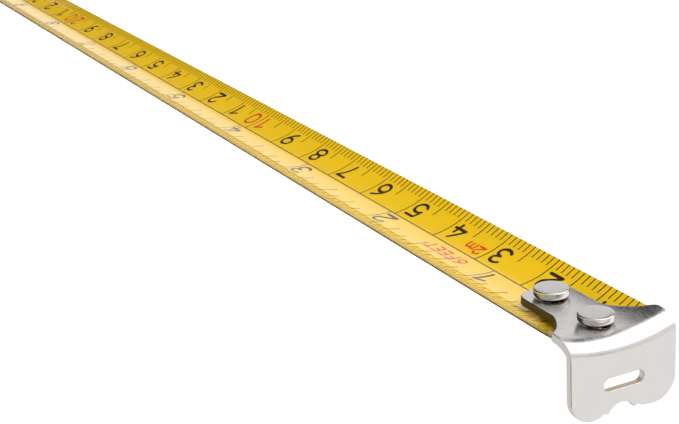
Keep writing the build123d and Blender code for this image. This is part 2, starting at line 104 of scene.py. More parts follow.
# --- print
CENTRE_LINE = 0.93
INCH = 25.4
CENTRE_FROM, PRINT_TO = 2.2, 296.0
PRINT_RAISE, PRINT_SINK = 0.012, 0.01
EDGE_MARGIN = 0.02          # from the ends of the ticks to the strip's edge
LINE_WIDE, CENTRE_WIDE = 0.17, 0.16
STROKE, SMALL_STROKE = 0.46, 0.3
NUMERAL_TALL = 3.2
SIGN_GAP = 0.14             # between signs, as a share of their height
HALF_TICK, MILLIMETRE_TICK = 3.93, 5.39
INCH_TICKS = {1: -4.0, 2: -3.2, 4: -2.1, 8: -1.35, 16: -0.75, 32: CENTRE_LINE}     # by the 32nds they divide
CENTIMETRE_FOOT, INCH_FOOT = 5.02, 0.39
BEFORE_LINE, BEFORE_INCH, ASTRIDE = 0.7, 0.45, 0.9      # between a number and its line
METRE_MARK = ("2m", 30.8, 3.4, 1.75)                    # text, start, foot and height
FOOT_MARK = ("6FEET", 29.4, 0.0, 1.8)
FOOT_MARK_GAP = 0.22

# --- case
REEL_HEIGHT = 25.0
BAND_CORNERS = ((0.0, 25.0, 22.0), (-14.0, 39.0, 7.5), (-16.0, 6.0, 6.0))   # x, z and radius, from the side
BAND_FROM_X, BAND_FROM_Z = 6.0, 10.0
GRIP_RIBS, POINTS_PER_RIB = 90, 8
RIB_EASE = 0.5              # how far a rib takes to reach its depth

# --- light tent: a patch's brightness, azimuth and elevation, the angle where it is whole and where it ends
TENT_LIGHT = 0.95
TENT = (
    (2.45, 75, 56, 32, 42),     # lamp panel overhead
    (0.03, 190, 38, 30, 36),    # gap high behind the far side
    (0.12, 128, 34, 8, 14),     # gap between the back and the lamp panel
    (1.18, 25, -25, 30, 50),    # panel low in front of the hook
    (0.45, 37, 2, 3, 8),        # gap between that panel and the wall
    (0.03, -64, -20, 16, 28),   # gap low at the front
    (0.15, 95, 2, 12, 22),      # gap beyond the far edge
    (0.62, -35, 62, 8, 22),     # dimmer ceiling over the near side
)
FLOOR_REACH, FLOOR_GLOW = 3.0, 0.85     # metres to each side, and what the sheet adds of its own

# --- camera
SENSOR, LENS = 36.0, 78.92
CAMERA_SPOT = (113.606, -84.974, 64.482)    # from the zero line, at the height of the blade's edges
CAMERA_HEADING, CAMERA_DIP, CAMERA_LEAN = 154.537, -19.597, 3.634

ZERO_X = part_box("hook")[1].x / MM - HOOK_THICK
EDGE_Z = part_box("blade")[1].z / MM
BLADE_ORIGIN = np.array([ZERO_X, 0, EDGE_Z])
CASE_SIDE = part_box("case_left")[1].y / MM


# ---------------------------------------------------------------- meshes

def mesh_piece(name, points, faces, material, body, origin=None):
    """Points in millimetres from an origin and faces as index rows become an object that rides on a body."""
    origin = BLADE_ORIGIN if origin is None else origin
    place = (np.asarray(points, float) + origin) * MM
    mesh = bpy.data.meshes.new(name)
    mesh.from_pydata(place, [], list(faces))
    mesh.validate()
    mesh.polygons.foreach_set("use_smooth", np.ones(len(mesh.polygons), bool))
    mesh.materials.append(material)
    obj = bpy.data.objects.new(name, mesh)
    bpy.context.scene.collection.objects.link(obj)
    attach(obj, body)
    return obj


def mark_sharp(obj, degrees):
    """Shades the piece smooth except over edges sharper than the angle."""
    obj.data.set_sharp_from_angle(angle=radians(degrees))


def smooth_step(u):
    return u * u * (3 - 2 * u)


def with_zeros(pairs):
    """Pairs of numbers with a nought as their third."""
    pairs = np.asarray(pairs, float)
    return np.concatenate([pairs, np.zeros((len(pairs), 1))], 1)


def grid_faces(rows, columns, closed=False, first=0):
    """Quads between neighbouring rows of a grid; closed joins the last column to the first."""
    i, j = np.meshgrid(np.arange(rows - 1), np.arange(columns if closed else columns - 1), indexing="ij")
    a = (i * columns + j).ravel()
    b = (i * columns + (j + 1) % columns).ravel()
    return np.stack([a, b, b + columns, a + columns], 1) + first


def spaced(points, count):
    """The same open line through count points, evenly spaced along it."""
    points = np.asarray(points, float)
    run = np.concatenate([[0], np.cumsum(np.linalg.norm(np.diff(points, axis=0), axis=1))])
    at = np.linspace(0, run[-1], count)
    return np.stack([np.interp(at, run, points[:, k]) for k in range(points.shape[1])], 1)


def arc(centre, radii, start, end, count=24):
    """Points on an ellipse's arc, from angle start to end in degrees."""
    a = np.radians(np.linspace(start, end, count))
    return np.stack([centre[0] + radii[0] * np.cos(a), centre[1] + radii[1] * np.sin(a)], 1)


def arc_through(a, b, c, count=24):
    """Points on the circle through three points, from the first to the last."""
    (ax, ay), (bx, by), (cx, cy) = a, b, c
    d = 2 * (ax * (by - cy) + bx * (cy - ay) + cx * (ay - by))
    a2, b2, c2 = ax**2 + ay**2, bx**2 + by**2, cx**2 + cy**2
    x = (a2 * (by - cy) + b2 * (cy - ay) + c2 * (ay - by)) / d
    y = (a2 * (cx - bx) + b2 * (ax - cx) + c2 * (bx - ax)) / d
    angles = np.unwrap([np.arctan2(p[1] - y, p[0] - x) for p in (a, b, c)])
    radius = np.hypot(ax - x, ay - y)
    turn = np.linspace(angles[0], angles[2], count)
    return np.stack([x + radius * np.cos(turn), y + radius * np.sin(turn)], 1)


def curve(*points, count=16):
    """A quadratic Bezier from its three control points."""
    a, b, c = (np.array(p) for p in points)
    u = np.linspace(0, 1, count)[:, None]
    return (1 - u) ** 2 * a + 2 * u * (1 - u) * b + u**2 * c


# ---------------------------------------------------------------- blade

def blade_point(x, t, lift=0.0):
    """A point lift above the hollow face: a circle's arc across, fading to flat inside the case.

    y = sin(k t) (1/k - lift), z = bottom + 1/k - cos(k t) (1/k - lift), with k the curvature at x."""
    ease = smooth_step(np.clip((x + ZERO_X) / SPREAD_LONG, LEAST_SHARE, 1))
    k = ease / BLADE_CURVE
    bottom = FLAT_LEVEL + (-BLADE_SAG - FLAT_LEVEL) * ease
    y = np.sin(k * t) * (1 / k - lift)
    z = bottom + 1 / k - np.cos(k * t) * (1 / k - lift)
    return np.stack([x + 0 * y, y, z], -1)


def blade_half_arc(x):
    """How far the strip reaches to each side of its middle: all of it, then a quarter of an ellipse."""
    into = np.clip((x - (BLADE_END - END_LONG)) / END_LONG, 0, 1)
    return HALF_ARC - END_NARROW * (1 - np.sqrt(1 - into**2))


def blade_strip(paint, bare):
    """The strip: its hollow face from edge to edge, then its back the other way, closed at both ends."""
    x = np.concatenate([
        np.linspace(-ZERO_X, -ZERO_X + SPREAD_LONG, 18),
        np.arange(-ZERO_X + SPREAD_LONG + 6, BLADE_END - 6, 6.0),
        np.linspace(BLADE_END - 5, BLADE_END - 2.8, 4),
        BLADE_END - END_LONG * (1 - np.sin(np.linspace(0, pi / 2, 14))),
    ])
    across = np.linspace(-1, 1, 49)
    wide = blade_half_arc(x)[:, None]
    top = blade_point(x[:, None], wide * across, 0)
    back = blade_point(x[:, None], wide * across[::-1], -BLADE_THICK)
    loop = np.concatenate([top, back], 1)
    rows, columns = loop.shape[:2]
    faces = grid_faces(rows, columns, closed=True)[:, ::-1]
    half = len(across)
    j = np.arange(half - 1)
    start = np.stack([j, j + 1, columns - 2 - j, columns - 1 - j], 1)
    end = start[:, ::-1] + (rows - 1) * columns
    all_faces = np.concatenate([faces, start, end]).tolist()
    obj = mesh_piece("blade_strip", loop.reshape(-1, 3), all_faces, paint, "case")
    obj.data.materials.append(bare)
    edge = np.zeros(len(obj.data.polygons), int)
    column = np.tile(np.arange(columns), rows - 1)
    edge[: len(faces)][(column == half - 1) | (column == columns - 1)] = 1
    edge[len(faces):] = 1
    obj.data.polygons.foreach_set("material_index", edge)
    mark_sharp(obj, 50)
    return obj


def wind_in(obj):
    """Gives the piece its own copy of its mesh; it does not shorten the strip."""
    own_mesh(obj)


# ---------------------------------------------------------------- print

def ribbon(path, wide, rounded=True):
    """A line of print: stations along the path with their half widths, round at the ends when rounded.

    At a distance d beyond the path's end the half width is sqrt(r^2 - d^2), as in a half circle."""
    path = np.asarray(path, float)
    long = np.linalg.norm(np.diff(path, axis=0), axis=1).sum()
    path = spaced(path, max(2, int(long / 0.22) + 2))
    radius = wide / 2
    half = np.full(len(path), radius)
    if rounded:
        a = np.radians([15, 40, 65, 86])
        for end, step in ((0, path[0] - path[1]), (-1, path[-1] - path[-2])):
            step = step / np.linalg.norm(step)
            extra = path[end] + np.outer(radius * np.sin(a), step)
            width = radius * np.cos(a)
            if end == 0:
                path = np.concatenate([extra[::-1], path])
                half = np.concatenate([width[::-1], half])
            else:
                path = np.concatenate([path, extra])
                half = np.concatenate([half, width])
    way = np.gradient(path, axis=0)
    way /= np.linalg.norm(way, axis=1)[:, None]
    side = np.stack([-way[:, 1], way[:, 0]], 1) * half[:, None]
    return path + side, path - side


def print_piece(name, ribbons, material):
    """All ribbons of one ink as thin closed strips that follow the blade's hollow."""
    points, faces, first = [], [], 0
    for left, right in ribbons:
        around = ((left, PRINT_RAISE), (right, PRINT_RAISE), (right, -PRINT_SINK), (left, -PRINT_SINK))
        corners = [blade_point(-side[:, 0], side[:, 1], lift) for side, lift in around]
        rows = np.stack(corners, 1)
        n = len(left)
        points.append(rows.reshape(-1, 3))
        faces.append(grid_faces(n, 4, closed=True, first=first))
        faces.append(np.array([[3, 2, 1, 0], [4 * n - 4, 4 * n - 3, 4 * n - 2, 4 * n - 1]]) + first)
        first += 4 * n
    obj = mesh_piece(name, np.concatenate(points), np.concatenate(faces).tolist(), material, "case")
    mark_sharp(obj, 50)
    wind_in(obj)
    return obj


def glyphs():
    """Strokes of each sign, in a box one high: x to the right, y up. The number is the sign's width."""
    low, high, bar = 0.07, 0.93, 0.52
    stem = np.array([(0.09, low), (0.09, high)])
    bars = [np.array([(0.09, high), (0.66, high)]), np.array([(0.09, bar), (0.58, bar)])]
    six = [
        np.concatenate([
            curve((0.66, high), (0.22, 0.80), (0.09, 0.40)),
            arc((0.42, 0.33), (0.33, 0.26), 165, 360),
        ]),
        arc((0.42, 0.33), (0.33, 0.26), 0, 180),
    ]
    return {
        "0": (0.84, [np.concatenate([
            arc((0.42, 0.60), (0.34, 0.33), 0, 180),
            arc((0.42, 0.40), (0.34, 0.33), 180, 360),
            [(0.76, 0.60)],
        ])]),
        "1": (0.62, [np.array([(0.10, 0.70), (0.48, high)]), np.array([(0.48, high), (0.48, low)])]),
        "2": (0.84, [
            np.concatenate([
                arc((0.42, 0.65), (0.33, 0.28), 165, -30),
                curve((0.70, 0.50), (0.44, 0.34), (0.06, low)),
            ]),
            np.array([(0.08, low), (0.79, low)]),
        ]),
        "3": (0.84, [arc((0.40, 0.72), (0.29, 0.21), 150, -90), arc((0.40, 0.29), (0.34, 0.22), 90, -152)]),
        "4": (0.84, [
            np.array([(0.50, high), (0.07, 0.30)]),
            np.array([(0.07, 0.30), (0.80, 0.30)]),
            np.array([(0.60, 0.55), (0.60, low)]),
        ]),
        "5": (0.84, [
            np.array([(0.74, high), (0.17, high)]),
            np.array([(0.17, high), (0.12, 0.52)]),
            arc((0.40, 0.345), (0.35, 0.275), 140, -150),
        ]),
        "6": (0.84, six),
        "7": (0.80, [np.array([(0.07, high), (0.76, high)]), curve((0.76, high), (0.45, 0.62), (0.30, low))]),
        "8": (0.84, [arc((0.42, 0.71), (0.28, 0.22), 0, 360), arc((0.42, 0.28), (0.34, 0.21), 0, 360)]),
        "9": (0.84, [np.array([0.84, 1.0]) - stroke for stroke in six]),
        "F": (0.72, [stem, *bars]),
        "E": (0.72, [stem, *bars, np.array([(0.09, low), (0.66, low)])]),
        "T": (0.74, [np.array([(0.05, high), (0.69, high)]), np.array([(0.37, high), (0.37, low)])]),
        "m": (1.10, [
            np.array([(0.09, low), (0.09, 0.66)]),
            np.concatenate([arc((0.31, 0.46), (0.22, 0.20), 180, 0), [(0.53, low)]]),
            np.concatenate([arc((0.75, 0.46), (0.22, 0.20), 180, 0), [(0.97, low)]]),
        ]),
    }


GLYPHS = glyphs()


def lettering(text, s, foot, tall, stroke, gap=SIGN_GAP):
    """Ribbons for signs that start at s and stand on t = foot, with their tops towards -Y."""
    found = []
    for sign in text:
        wide, strokes = GLYPHS[sign]
        for line in strokes:
            place = np.stack([s + line[:, 0] * tall, foot - line[:, 1] * tall], 1)
            found.append(ribbon(place, stroke))
        s += (wide + gap) * tall
    return found


def text_width(text, tall):
    return sum(GLYPHS[sign][0] + SIGN_GAP for sign in text) * tall - SIGN_GAP * tall


def tick(s, t1, t2):
    return ribbon([(s, t1), (s, t2)], LINE_WIDE, rounded=False)


def metric_ticks():
    """A line each millimetre from the +Y edge: longer at 5, and right to the centre line at 10."""
    found = []
    for n in range(2, int(PRINT_TO) + 1):
        inner = CENTRE_LINE if n % 10 == 0 else HALF_TICK if n % 5 == 0 else MILLIMETRE_TICK
        found.append(tick(n, HALF_ARC - EDGE_MARGIN, inner))
    return found


def inch_ticks():
    """A line each 1/32 inch from the -Y edge, longer at each halving, and whole at the inch."""
    found = []
    for n in range(4, int(PRINT_TO / INCH * 32) + 1):
        step = max(d for d in INCH_TICKS if n % d == 0)
        found.append(tick(n * INCH / 32, -HALF_ARC + EDGE_MARGIN, INCH_TICKS[step]))
    return found


def numerals():
    """Centimetre and inch numbers, black but for the tens, which are red and stand astride their line."""
    black, red = [], []
    for n in range(1, int(PRINT_TO / 10) + 1):
        line = n * 10.0
        if n % 10:
            text = str(n % 10)
            s = line - BEFORE_LINE - text_width(text, NUMERAL_TALL)
            black += lettering(text, s, CENTIMETRE_FOOT, NUMERAL_TALL, STROKE)
        else:
            ten, unit = str(n)
            s = line - ASTRIDE - text_width(ten, NUMERAL_TALL)
            red += lettering(ten, s, CENTIMETRE_FOOT, NUMERAL_TALL, STROKE)
            red += lettering(unit, line + ASTRIDE, CENTIMETRE_FOOT, NUMERAL_TALL, STROKE)
    for n in range(1, int(PRINT_TO / INCH) + 1):
        text = str(n)
        s = n * INCH - BEFORE_INCH - text_width(text, NUMERAL_TALL)
        black += lettering(text, s, INCH_FOOT, NUMERAL_TALL, STROKE)
    red += lettering(*METRE_MARK, SMALL_STROKE)
    red += lettering(*FOOT_MARK, SMALL_STROKE, gap=FOOT_MARK_GAP)
    return black, red


# ---------------------------------------------------------------- hook

def plate_top(y):
    """The plate is an arc across, PLATE_CURVE in radius."""
    return PLATE_TOP + PLATE_CURVE - np.sqrt(PLATE_CURVE**2 - y**2)


def bend_line(y, stations=13):
    """The bend's x and fall from its start, at each y: its radius drops as the cube of what is left to turn.

    radius = tight + easy * (1 - turn / 90)^3; x and fall are the running sums of radius * cos(turn) and
    radius * sin(turn)."""
    fine = 8
    turn = np.linspace(0, pi / 2, (stations - 1) * fine + 1)[:, None]
    easy = BEND_EASY + WING_CURL * (y / (HOOK_WIDTH / 2)) ** 2
    radius = BEND_TIGHT + easy * (1 - turn / (pi / 2)) ** 3
    step = np.diff(turn, axis=0)

    def run(speed):
        """The running sum of a speed over the turn, by trapezia."""
        return np.concatenate([0 * speed[:1], np.cumsum((speed[1:] + speed[:-1]) / 2 * step, axis=0)])

    return run(radius * np.cos(turn))[::fine], run(radius * np.sin(turn))[::fine]


def bend_start(y):
    """Where the plate starts to bend down: further back towards the tips of the wings."""
    return HOOK_THICK - bend_line(y)[0][-1]


def on_plate(loop):
    return np.stack([loop[..., 0], loop[..., 1], plate_top(loop[..., 1])], -1)


def on_face(loop):
    return np.stack([np.full(loop.shape[:-1], HOOK_THICK), loop[..., 0], loop[..., 1]], -1)


def slot_loop(outer, centre, half_long, radius):
    """For each point of an outline, the nearest point of a round-ended slot inside it."""
    middle = np.zeros_like(outer)
    spread = half_long - radius
    middle[:, 0] = np.clip(outer[:, 0], centre[0] - spread, centre[0] + spread)
    middle[:, 1] = centre[1]
    out = outer - middle
    return middle + out / np.linalg.norm(out, axis=1)[:, None] * radius


def between(inner, outer, rings):
    """Rings of points from one loop to another around it."""
    u = np.linspace(0, 1, rings)[:, None, None]
    return inner * (1 - u) + outer * u


def tongue_seam(count=41):
    """Across the tongue between the rivets, where two patches meet."""
    y = np.linspace(-TONGUE_HALF, TONGUE_HALF, count)
    return np.stack([np.full(count, FLARE[0][0] - SEAM_BACK), y], 1)


def bend_seam(count=49):
    """The line along which the plate starts to bend, from tip to tip."""
    y = np.linspace(-HOOK_WIDTH / 2, HOOK_WIDTH / 2, count)
    return np.stack([bend_start(y), y], 1)


def rivet_slot(outer, node):
    return slot_loop(outer, (RIVETS[node] + HOOK_THICK / 2, 0), RIVET_SLOT_HALF, RIVET_SLOT_RADIUS)


def tongue_patch():
    """The back of the tongue around the rear rivet's slot."""
    front = tongue_seam()
    corner, inner = TONGUE_BACK + TONGUE_ROUND, TONGUE_HALF - TONGUE_ROUND
    back = np.concatenate([
        front[-1:],
        arc((corner, inner), (TONGUE_ROUND, TONGUE_ROUND), 90, 180),
        arc((corner, -inner), (TONGUE_ROUND, TONGUE_ROUND), 180, 270),
        front[:1],
    ])
    outer = np.concatenate([front, spaced(back, 120)[1:-1]])
    return on_plate(between(rivet_slot(outer, "hook_rivet_rear"), outer, 9))


def flare_patch():
    """The flaring part of the plate around the front rivet's slot, out to the wings' rounded tips."""
    front, back = bend_seam(), tongue_seam()[::-1]
    tip = front[-1]
    side = np.concatenate([
        curve(tip, (tip[0] - TIP_BACK, HOOK_WIDTH / 2 - TIP_IN), FLARE[2], count=8),
        arc_through(*FLARE[::-1])[1:],
        back[:1],
    ])
    left = spaced(side, 44)[1:-1]
    right = (left * (1, -1))[::-1]
    outer = np.concatenate([front, left, back, right])
    return on_plate(between(rivet_slot(outer, "hook_rivet_front"), outer, 11))


def bend_patch():
    """The bend from the plate down to the face, longer towards the wings' tips."""
    start, y = bend_seam().T
    x, fall = bend_line(y)
    return np.stack([start + x, y + 0 * x, plate_top(y) - fall], -1)


def face_outline():
    """The hanging face from its bend round the lower corners, two lobes and the notch between them."""
    side, low = HOOK_WIDTH / 2, -HOOK_DROP
    y = bend_seam()[:, 1]
    top = np.stack([y, plate_top(y) - bend_line(y)[1][-1]], 1)
    corner = arc((side - CORNER_ROUND, low + CORNER_ROUND), (CORNER_ROUND, CORNER_ROUND), 0, -90)
    notch = np.concatenate([
        curve(*NOTCH_LOBE, count=6),
        curve(*NOTCH_TOOTH, count=6)[1:],
        arc_through(*NOTCH_ARCH)[1:],
    ]) + (0, low)
    halves = []
    for hand in (1, -1):
        shifted = np.stack([NOTCH_MIDDLE + hand * notch[:, 0], notch[:, 1]], 1)
        half = np.concatenate([corner * (hand, 1), shifted])
        start = top[-1] if hand > 0 else top[0]
        halves.append(spaced(np.concatenate([[start], half]), 81))
    return np.concatenate([top, halves[0][1:], halves[1][::-1][1:-1]])


def face_patch():
    """The face around its slot."""
    outer = face_outline()
    slot = slot_loop(outer, (0, NAIL_SLOT_Z), NAIL_SLOT_HALF, NAIL_SLOT_RADIUS)
    return on_face(between(slot, outer, 11))


def weld(obj, distance=0.004 * MM):
    """Joins points that two patches share along their seam."""
    work = bmesh.new()
    work.from_mesh(obj.data)
    bmesh.ops.remove_doubles(work, verts=work.verts, dist=distance)
    bmesh.ops.recalc_face_normals(work, faces=work.faces)
    work.to_mesh(obj.data)
    work.free()


def hook_plate(nickel, cut):
    """Three ring patches around the three slots and the bend between them, welded and given thickness."""
    points, faces, first = [], [], 0
    parts = ((tongue_patch(), True), (flare_patch(), True), (bend_patch(), False), (face_patch(), True))
    for part, closed in parts:
        rows, columns = part.shape[:2]
        points.append(part.reshape(-1, 3))
        faces.append(grid_faces(rows, columns, closed, first))
        first += rows * columns
    faces = np.concatenate(faces).tolist()
    obj = mesh_piece("hook_plate", np.concatenate(points), faces, nickel, "end_hook")
    obj.data.materials.append(cut)
    weld(obj)
    # the welded normals agree with each other; the plate's have to point up
    highest = max(obj.data.polygons, key=lambda p: p.normal.z * (p.center.z > (EDGE_Z - 0.6) * MM))
    if highest.normal.z < 0.5:
        obj.data.flip_normals()
    thick = obj.modifiers.new("thickness", "SOLIDIFY")
    thick.thickness = HOOK_THICK * MM
    thick.offset = -1
    thick.use_even_offset = True
    thick.material_offset_rim = 1
    bevel = obj.modifiers.new("stamped edge", "BEVEL")
    bevel.width = EDGE_ROUND * MM
    bevel.use_clamp_overlap = False
    bevel.segments = 3
    bevel.limit_method = "ANGLE"
    bevel.angle_limit = radians(50)
    bevel.harden_normals = True
    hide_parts("hook")
    return obj


def turned(name, profile, centre, material, body, count=72):
    """A profile of (radius, height) turned about an upright axis at (x, y)."""
    profile = np.asarray(profile, float)
    a = np.linspace(0, tau, count, endpoint=False)
    x = centre[0] + profile[:, :1] * np.cos(a)
    y = centre[1] + profile[:, :1] * np.sin(a)
    z = np.repeat(profile[:, 1:], count, 1)
    points = np.stack([x, y, z], -1).reshape(-1, 3)
    rows = len(profile)
    faces = grid_faces(rows, count, closed=True).tolist()
    faces += [list(range(count))[::-1], list(range((rows - 1) * count, rows * count))]
    return mesh_piece(name, points, faces, material, body)


def rivet(node, x, nickel):
    """A rivet: formed foot, shank, and a flat head rounded more below its rim than above."""
    under = -BLADE_SAG - BLADE_THICK
    top, low = RIVET_TOP, RIVET_TOP - RIVET_TALL
    foot_flat = FOOT_RADIUS - FOOT_ROUND
    over_round, under_round = RIVET_ROUND
    profile = np.concatenate([
        arc((foot_flat, under - FOOT_DEEP + FOOT_ROUND), (FOOT_ROUND, FOOT_ROUND), -90, 0, 8),
        [(FOOT_RADIUS, under - 0.02), (SHANK_RADIUS, under), (SHANK_RADIUS, low)],
        [(RIVET_RADIUS - under_round, low)],
        arc((RIVET_RADIUS - under_round, low + under_round), (under_round, under_round), -80, 0, 7),
        arc((RIVET_RADIUS - over_round, top - over_round), (over_round, over_round), 0, 84, 12),
        [(1.1, top + 0.015)],
    ])
    obj = turned(node.replace("hook_", "") + "_turned", profile, (x, 0), nickel, "strip")
    mark_sharp(obj, 55)
    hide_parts(node)
    return obj


# ---------------------------------------------------------------- case

def ring_about_reel(name, profile, material, side, ribs=0, depth=0.0, count=96):
    """A profile of (radius, height above the case's side) turned about the reel's axis on one side.

    Radial ribs sink the top by depth * (1 - cos^6(ribs * angle / 2)) * window, where the window is 1 between
    the profile's rims and 0 on them; it is the profile's third number."""
    profile = np.asarray(profile, float)
    angle = np.linspace(0, tau, count, endpoint=False)
    radius, high, window = (profile[:, k:k + 1] for k in range(3))
    sink = depth * window * (1 - np.cos(ribs * angle / 2) ** 6) if ribs else 0
    x = radius * np.cos(angle)
    y = side * (CASE_SIDE + high - sink)
    z = REEL_HEIGHT + radius * np.sin(angle)
    rows = len(profile)
    faces = grid_faces(rows, count, closed=True)
    points = np.stack([x, y + 0 * angle, z], -1).reshape(-1, 3)
    if np.allclose(profile[0], profile[-1]):
        points = points[:-count]
        faces = faces % len(points)
        caps = []
    else:
        caps = [np.arange(count)[::-1], np.arange((rows - 1) * count, rows * count)]
    faces = faces.tolist() + [c.tolist() for c in caps]
    if side > 0:
        faces = [f[::-1] for f in faces]
    return mesh_piece(name, points, faces, material, "case", np.zeros(3))


def side_grip(node, side, rubber):
    """A ribbed rubber ring let into the case's side."""
    inner, outer, sunk, proud, edge, border, depth = 13.2, 18.8, -0.5, 0.6, 0.35, 0.7, 0.4
    top = np.linspace(inner + edge, outer - edge, 15)
    window = smooth_step(np.clip(np.minimum(top - inner - border, outer - border - top) / RIB_EASE, 0, 1))
    flat = np.stack([top, np.full(len(top), proud), window], 1)
    rise = arc((inner + edge, proud - edge), (edge, edge), 180, 90, 6)
    fall = arc((outer - edge, proud - edge), (edge, edge), 90, 0, 6)
    profile = np.concatenate([
        with_zeros([(inner, sunk)]), with_zeros(rise), flat[1:-1], with_zeros(fall),
        with_zeros([(outer, sunk), (inner, sunk)]),
    ])
    around = GRIP_RIBS * POINTS_PER_RIB
    obj = ring_about_reel("ribbed_" + node, profile, rubber, side, ribs=GRIP_RIBS, depth=depth, count=around)
    mark_sharp(obj, 60)
    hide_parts(node)


def side_badge(node, side, metal):
    """A blank turned disc with a rounded rim round a shallow dish."""
    rim, step, dish, edge, sunk = 0.35, 11.3, -0.12, 12.4, -0.4
    profile = np.concatenate([
        [(0.001, dish), (3.0, dish), (8.0, dish), (step - 0.4, dish)],
        curve((step - 0.3, dish), (step, dish), (step + 0.02, 0.0), count=5),
        arc((11.75, 0.02), (0.3, 0.08), 150, 20, 6),
        [(12.1, 0.05)],
        arc((edge - rim, -0.25), (rim, 0.3), 80, 0, 6),
        [(edge, sunk)],
    ])
    obj = ring_about_reel("turned_" + node, with_zeros(profile), metal, side, count=180)
    mark_sharp(obj, 50)
    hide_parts(node)


def case_outline(normals):
    """Where each outward normal touches the case's side view: c + r n on the corner circle furthest out."""
    way = np.stack([np.cos(normals), np.sin(normals)], 1)
    circles = np.array(BAND_CORNERS)
    reach = way @ circles[:, :2].T + circles[:, 2]
    chosen = circles[reach.argmax(1)]
    return chosen[:, :2] + chosen[:, 2:] * way


def grip_band(rubber):
    """The rubber strip over the top and down the back, ribbed across.

    Its top stands proud less depth * sin^2(pi * run / pitch) inside a plain border; its edges are rounded."""
    half, sunk, proud, depth, pitch, border, edge = 6.0, -0.6, 0.7, 0.45, 2.1, 1.0, 0.35
    path = spaced(case_outline(np.linspace(radians(70), radians(182), 600)), 900)
    path = path[(path[:, 0] < BAND_FROM_X) & (path[:, 1] > BAND_FROM_Z)]
    along = np.gradient(path, axis=0)
    along /= np.linalg.norm(along, axis=1)[:, None]
    normal = np.stack([along[:, 1], -along[:, 0]], 1)
    run = np.concatenate([[0], np.cumsum(np.linalg.norm(np.diff(path, axis=0), axis=1))])
    inside = np.clip((np.minimum(run, run[-1] - run) - border) / RIB_EASE, 0, 1)
    groove = depth * inside * np.sin(pi * (run - border) / pitch) ** 2
    y = np.linspace(-half + edge, half - edge, 23)
    top = proud - groove[:, None] * smooth_step(np.clip((half - border - np.abs(y)) / RIB_EASE, 0, 1))
    round_in = arc((-half + edge, proud - edge), (edge, edge), 180, 100, 5)
    round_out = arc((half - edge, proud - edge), (edge, edge), 80, 0, 5)
    rows = len(path)
    y_all = np.concatenate([[-half], round_in[:, 0], y, round_out[:, 0], [half]])
    foot = np.full((rows, 1), sunk)
    high = np.concatenate(
        [foot, np.tile(round_in[:, 1], (rows, 1)), top, np.tile(round_out[:, 1], (rows, 1)), foot], 1
    )
    high[[0, -1]] = np.minimum(high[[0, -1]], proud - edge)
    place = path[:, None] + normal[:, None] * high[..., None]
    points = np.stack([place[..., 0], np.tile(y_all, (rows, 1)), place[..., 1]], -1).reshape(-1, 3)
    columns = len(y_all)
    faces = grid_faces(rows, columns, closed=True)[:, ::-1].tolist()
    faces += [list(range(columns)), list(range((rows - 1) * columns, rows * columns))[::-1]]
    obj = mesh_piece("ribbed_grip_band", points, faces, rubber, "case", np.zeros(3))
    mark_sharp(obj, 55)
    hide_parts("grip_band")


# ---------------------------------------------------------------- materials

def colour(code):
    """An sRGB hex value as linear red, green, blue and alpha."""
    parts = [int(code[i:i + 2], 16) / 255 for i in (1, 3, 5)]
    return [c / 12.92 if c <= 0.04045 else ((c + 0.055) / 1.055) ** 2.4 for c in parts] + [1.0]


def add(tree, kind, links=(), **settings):
    """A node with its settings (properties or unlinked sockets, by name) and its incoming links."""
    node = tree.nodes.new(kind)
    for name, value in settings.items():
        if hasattr(node, name):
            setattr(node, name, value)
        else:
            node.inputs[name].default_value = value
    for socket, source in dict(links).items():
        tree.links.new(source, node.inputs[socket])
    return node


def surface(name, base, roughness, metallic=0.0, **sockets):
    """A material with one Principled shader; returns it with its tree and shader."""
    material = bpy.data.materials.new(name)
    material.use_nodes = True
    tree = material.node_tree
    shader = tree.nodes["Principled BSDF"]
    shader.inputs["Base Color"].default_value = colour(base)
    shader.inputs["Roughness"].default_value = roughness
    shader.inputs["Metallic"].default_value = metallic
    for socket, value in sockets.items():
        shader.inputs[socket.replace("_", " ")].default_value = value
    return material, tree, shader


def grain(tree, size_mm, detail=3.0, stretch=(1, 1, 1)):
    """Noise on the object's own coordinates, with grains size_mm across, stretched along its axes."""
    place = add(tree, "ShaderNodeTexCoord")
    turn = add(tree, "ShaderNodeMapping", {"Vector": place.outputs["Object"]})
    turn.inputs["Scale"].default_value = [1 / (size_mm * MM * k) for k in stretch]
    return add(tree, "ShaderNodeTexNoise", {"Vector": turn.outputs["Vector"]}, Scale=1.0, Detail=detail)


def ramp(tree, source, low, high, start=0.3, end=0.7):
    """A value between start and end, spread between low and high."""
    node = add(tree, "ShaderNodeMapRange", {"Value": source})
    for socket, value in (("From Min", start), ("From Max", end), ("To Min", low), ("To Max", high)):
        node.inputs[socket].default_value = value
    return node.outputs["Result"]


def bump(tree, height, depth_mm, strength, **links):
    """The normal over a relief depth_mm deep."""
    node = add(tree, "ShaderNodeBump", {"Height": height, **links})
    node.inputs["Strength"].default_value = strength
    node.inputs["Distance"].default_value = depth_mm * MM
    return node.outputs["Normal"]


def mix_colour(tree, factor, a, b):
    node = add(tree, "ShaderNodeMix", data_type="RGBA")
    tree.links.new(factor, node.inputs[0])
    node.inputs[6].default_value = colour(a)
    node.inputs[7].default_value = colour(b)
    return node.outputs[2]


